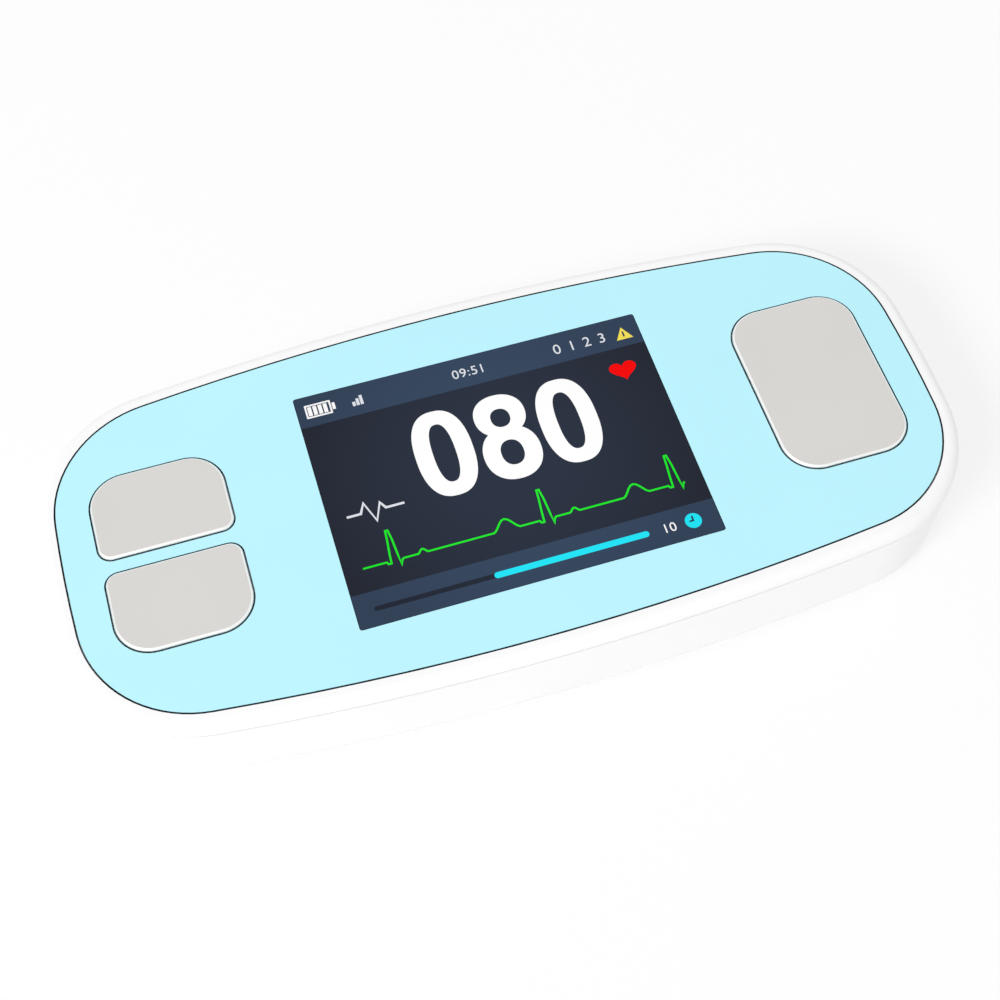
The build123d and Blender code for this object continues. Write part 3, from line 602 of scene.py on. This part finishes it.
def eight_loop(x):
    """Outer loop of the figure 8: an upper and a lower oval, met in a waist."""
    top = oval(x, EIGHT_TOP_Y, EIGHT_TOP_WIDTH, EIGHT_TOP_HEIGHT, EIGHT_POWER, EIGHT_STEPS)
    low = oval(x, EIGHT_LOW_Y, DIGIT_WIDTH, EIGHT_LOW_HEIGHT, EIGHT_POWER, EIGHT_STEPS)
    waist = waist_height(top, low, x)
    outline = [point for point in top if point[1] >= waist]
    outline += [point for point in low if point[1] < waist]
    rising = sorted(outline, key=lambda point: point[1])
    right = [point for point in rising if point[0] >= x]
    left = [point for point in rising if point[0] < x]
    return right + left[::-1]


def wave(x, half_length, height):
    """Points of one smooth hump on the trace."""
    points = []
    for step in range(WAVE_STEPS + 1):
        share = 2 * step / WAVE_STEPS - 1
        rise = height * (0.5 + 0.5 * math.cos(math.pi * share)) ** WAVE_POWER
        points.append((x + share * half_length, TRACE_BASE_Y + rise))
    return points


def trace_points():
    """The heart trace from left to right."""
    points = [(TRACE_LEFT, TRACE_BASE_Y)]
    for number, beat in enumerate(BEAT_PLACES):
        if number:
            points += wave(beat - LARGE_WAVE_BEFORE, *LARGE_WAVE)
        points += [(beat + across, TRACE_BASE_Y + up) for across, up in BEAT_SHAPE]
        if number < len(BEAT_PLACES) - 1:
            points += wave(beat + SMALL_WAVE_AFTER, *SMALL_WAVE)
    return [point for point in points if point[0] <= TRACE_RIGHT]


def heart_loop(x, y, width, height):
    """Loop of a plain heart."""
    loop = []
    for step in range(HEART_STEPS):
        angle = 2 * math.pi * step / HEART_STEPS
        across = math.sin(angle) ** 3 / 2
        up = sum(part * math.cos(turns * angle) for turns, part in enumerate(HEART_CURVE, 1))
        up = (up - HEART_CURVE_MIDDLE) / HEART_CURVE_HEIGHT
        loop.append((x + across * width, y + up * height))
    return loop


# Pieces of the screen picture

def in_scene(thing):
    """Puts a new object into the scene and returns it."""
    bpy.context.scene.collection.objects.link(thing)
    return thing


def settle_picture(name, curve, material, layer):
    """Turns a flat curve into a mesh that lies on the screen, in a layer of the picture."""
    holder = in_scene(bpy.data.objects.new(name, curve))
    bpy.context.view_layer.update()
    graph = bpy.context.evaluated_depsgraph_get()
    mesh = bpy.data.meshes.new_from_object(holder.evaluated_get(graph))
    bpy.data.objects.remove(holder)
    height = PLATE_TOP + PICTURE_LIFT * (layer + 0.5) * MM
    mesh.transform(Matrix.Translation((0.0, 0.0, height)))
    mesh.materials.clear()
    mesh.materials.append(material)
    piece = in_scene(bpy.data.objects.new(name, mesh))
    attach(piece, "housing")
    return piece


def flat_shape(name, loops, material, layer=SIGN_LAYER):
    """A thin plate cut to closed loops; a loop inside another is a hole."""
    curve = bpy.data.curves.new(name, "CURVE")
    curve.dimensions = "2D"
    curve.fill_mode = "BOTH"
    curve.extrude = PICTURE_THICKNESS / 2 * MM
    for loop in loops:
        spline = curve.splines.new("POLY")
        spline.points.add(len(loop) - 1)
        for point, (x, y) in zip(spline.points, loop):
            point.co = (x * MM, y * MM, 0.0, 1.0)
        spline.use_cyclic_u = True
    settle_picture(name, curve, material, layer)


def small_text(name, text, place, size, material, spacing=TEXT_SPACING):
    """Plain figures on the screen."""
    curve = bpy.data.curves.new(name, "FONT")
    curve.body = text
    curve.size = size * MM
    curve.extrude = PICTURE_THICKNESS / 2 * MM
    curve.space_character = spacing
    piece = settle_picture(name, curve, material, SIGN_LAYER)
    piece.data.transform(Matrix.Translation((place[0] * MM, place[1] * MM, 0.0)))


def make_bars():
    """Bars along the top and the bottom of the screen."""
    bar = lit("lit_bar", SCREEN_BAR, SCREEN_BAR_EDGE)
    x, y = SCREEN_HALF
    flat_shape("screen_status_bar", [rectangle(-x, x, y - BAR_HEIGHT, y)], bar, BAR_LAYER)
    flat_shape("screen_footer_bar", [rectangle(-x, x, -y, BAR_HEIGHT - y)], bar, BAR_LAYER)


def make_figures(material):
    """The large figures 0 8 0."""
    for number, side in enumerate((-1, 1)):
        x = DIGIT_MIDDLE_X + side * DIGIT_PITCH
        outer = oval(x, DIGIT_MIDDLE_Y, DIGIT_WIDTH, DIGIT_HEIGHT, ZERO_POWER)
        hole = oval(x, DIGIT_MIDDLE_Y, ZERO_HOLE_WIDTH, ZERO_HOLE_HEIGHT, ZERO_POWER)
        flat_shape(f"screen_digit_zero_{number}", [outer, hole], material)
    x = DIGIT_MIDDLE_X
    upper_hole = oval(x, EIGHT_TOP_HOLE_Y, *EIGHT_TOP_HOLE, EIGHT_POWER)
    lower_hole = oval(x, EIGHT_LOW_HOLE_Y, *EIGHT_LOW_HOLE, EIGHT_POWER)
    flat_shape("screen_digit_eight", [eight_loop(x), upper_hole, lower_hole], material)


def make_trace():
    """The green heart trace."""
    green = lit("lit_green", TRACE_GREEN)
    flat_shape("screen_trace", [stroke(trace_points(), TRACE_WIDTH)], green)


def make_heart():
    """The red heart."""
    flat_shape("screen_heart", [heart_loop(*HEART_PLACE, *HEART_SIZE)], lit("lit_red", HEART_RED))


def make_alert_sign():
    """Yellow triangle with a bar cut out of it."""
    x, y = SIGN_PLACE
    width, height = SIGN_SIZE
    bottom, top = SIGN_BAR_SPAN
    sign = [(x - width / 2, y - height / 2), (x + width / 2, y - height / 2), (x, y + height / 2)]
    bar = rectangle(x - SIGN_BAR_WIDTH / 2, x + SIGN_BAR_WIDTH / 2, y + bottom, y + top)
    flat_shape("screen_alert_triangle", [sign, bar], lit("lit_yellow", SIGN_YELLOW))


def make_battery_icon(material):
    """Battery outline with four bars and a tip."""
    x, y = BATTERY_PLACE
    width, height = BATTERY_SIZE
    line = BATTERY_LINE
    left = x - width / 2
    right = x + width / 2
    bottom = y - height / 2
    top = y + height / 2
    tip_length, tip_height = BATTERY_TIP
    tip_start = right + line / 2
    loops = [
        rectangle(left, right, bottom, top),
        rectangle(left + line, right - line, bottom + line, top - line),
        rectangle(tip_start, tip_start + tip_length, y - tip_height / 2, y + tip_height / 2),
    ]
    step = (width - 2 * BATTERY_INSET) / BATTERY_BARS
    for number in range(BATTERY_BARS):
        start = left + BATTERY_INSET + number * step
        end = start + step - BATTERY_GAP
        loops.append(rectangle(start, end, bottom + BATTERY_INSET, top - BATTERY_INSET))
    flat_shape("screen_battery", loops, material)


def make_signal_icon(material):
    """Three rising bars."""
    x, y = SIGNAL_PLACE
    loops = []
    for number in range(SIGNAL_BARS):
        start = x + number * SIGNAL_STEP
        height = SIGNAL_FIRST + number * SIGNAL_RISE
        loops.append(rectangle(start, start + SIGNAL_WIDTH, y, y + height))
    flat_shape("screen_signal", loops, material)


def make_pulse_sign(material):
    """Small plain zigzag beside the large figures."""
    x, y = PULSE_PLACE
    points = [(x + across, y + up) for across, up in PULSE_SHAPE]
    flat_shape("screen_pulse_sign", [stroke(points, PULSE_STROKE)], material)


def make_progress():
    """Progress bar and its timer disc."""
    track = lit("lit_track", TRACK_DARK)
    cyan = lit("lit_cyan", PROGRESS_CYAN)
    rest = bar_loop(*TRACK_SPAN, PROGRESS_Y, TRACK_THICKNESS)
    done = bar_loop(*PROGRESS_SPAN, PROGRESS_Y, PROGRESS_THICKNESS)
    x, y = TIMER_PLACE
    hands = [(x + across, y + up) for across, up in TIMER_HANDS]
    flat_shape("screen_progress_track", [rest], track)
    flat_shape("screen_progress", [done], cyan, PROGRESS_LAYER)
    flat_shape("screen_timer", [oval(x, y, TIMER_DIAMETER, TIMER_DIAMETER)], cyan)
    flat_shape("screen_timer_hands", [stroke(hands, TIMER_STROKE)], track, HANDS_LAYER)


def make_picture():
    """Everything that the screen shows."""
    white = lit("lit_white", LIT_WHITE)
    soft = lit("lit_soft_white", SOFT_WHITE)
    make_bars()
    make_figures(white)
    make_trace()
    make_heart()
    make_alert_sign()
    make_battery_icon(white)
    make_signal_icon(soft)
    small_text("screen_clock", CLOCK_TEXT, CLOCK_PLACE, CLOCK_TEXT_SIZE, soft)
    small_text("screen_count", COUNT_TEXT, COUNT_PLACE, COUNT_TEXT_SIZE, soft, COUNT_SPACING)
    small_text("screen_seconds", SECONDS_TEXT, SECONDS_PLACE, SECONDS_TEXT_SIZE, white)
    make_pulse_sign(soft)
    make_progress()


# Studio

def directly_seen(tree):
    """1 for what the camera sees, also in metal and through glass, and 0 for what lights the object."""
    path = tree.nodes.new("ShaderNodeLightPath").outputs
    seen = combine(tree, "MAXIMUM", path["Is Camera Ray"], path["Is Glossy Ray"])
    return combine(tree, "MAXIMUM", seen, path["Is Transmission Ray"])


def floor_material():
    """Pale floor that goes white for the camera, more so far from the object, and keeps the shadow."""
    material, tree, shader = new_material("floor_white", FLOOR_WHITE, FLOOR_ROUGHNESS)
    shader.inputs["Specular IOR Level"].default_value = 0.0
    white = tree.nodes.new("ShaderNodeEmission")
    white.inputs["Strength"].default_value = 1.0
    far = ramp(tree, distance(tree), *FLOOR_FADE, FLOOR_OWN_WHITE, 1.0)
    share = combine(tree, "MULTIPLY", far, directly_seen(tree))
    mix = tree.nodes.new("ShaderNodeMixShader")
    tree.links.new(share, mix.inputs["Fac"])
    tree.links.new(shader.outputs["BSDF"], mix.inputs[1])
    tree.links.new(white.outputs["Emission"], mix.inputs[2])
    tree.links.new(mix.outputs["Shader"], tree.nodes["Material Output"].inputs["Surface"])
    return material


def make_floor():
    """Large square floor under the object."""
    mesh = bpy.data.meshes.new("floor")
    grid = bmesh.new()
    bmesh.ops.create_grid(grid, x_segments=FLOOR_SQUARES, y_segments=FLOOR_SQUARES, size=FLOOR_SIZE / 2)
    grid.to_mesh(mesh)
    grid.free()
    mesh.materials.append(floor_material())
    floor = in_scene(bpy.data.objects.new("floor", mesh))
    floor.location.z = -FLOOR_DROP


def make_world():
    """Even white surround; seen directly, or in metal and glass, it is plain white."""
    world = bpy.data.worlds.new("studio")
    bpy.context.scene.world = world
    world.use_nodes = True
    tree = world.node_tree
    back = tree.nodes["Background"]
    back.inputs["Color"].default_value = (1.0, 1.0, 1.0, 1.0)
    strength = ramp(tree, directly_seen(tree), 0.0, 1.0, WORLD_LIGHT, 1.0)
    tree.links.new(strength, back.inputs["Strength"])


def make_key_light():
    """Soft lamp from the front left, high above the object."""
    data = bpy.data.lights.new("key", "AREA")
    data.shape = "DISK"
    data.size = KEY_SIZE
    data.energy = KEY_POWER
    lamp = in_scene(bpy.data.objects.new("key", data))
    lamp.location = KEY_PLACE
    lamp.rotation_euler = (-KEY_PLACE).to_track_quat("-Z", "Y").to_euler()


def make_camera():
    """Camera at the photograph's place, turned and framed as there."""
    data = bpy.data.cameras.new("camera")
    data.sensor_width = CAMERA_SENSOR
    data.lens = CAMERA_LENS
    data.shift_x = CAMERA_SHIFT_X
    data.clip_start, data.clip_end = CAMERA_CLIP
    turn, down, roll = CAMERA_TURN, CAMERA_DOWN, CAMERA_ROLL
    back = Vector((-math.sin(turn) * math.cos(down), -math.cos(turn) * math.cos(down), math.sin(down)))
    level = Vector((math.cos(turn), -math.sin(turn), 0.0))
    upright = back.cross(level)
    right = level * math.cos(roll) + upright * math.sin(roll)
    up = back.cross(right)
    camera = in_scene(bpy.data.objects.new("camera", data))
    rotation = Matrix((right, up, back)).transposed().to_4x4()
    camera.matrix_world = Matrix.Translation(CAMERA_PLACE) @ rotation
    bpy.context.scene.camera = camera


make_camera()
make_world()
make_key_light()
make_floor()
dress_nodes(make_materials())
make_picture()
bpy.context.scene.view_settings.view_transform = "Standard"
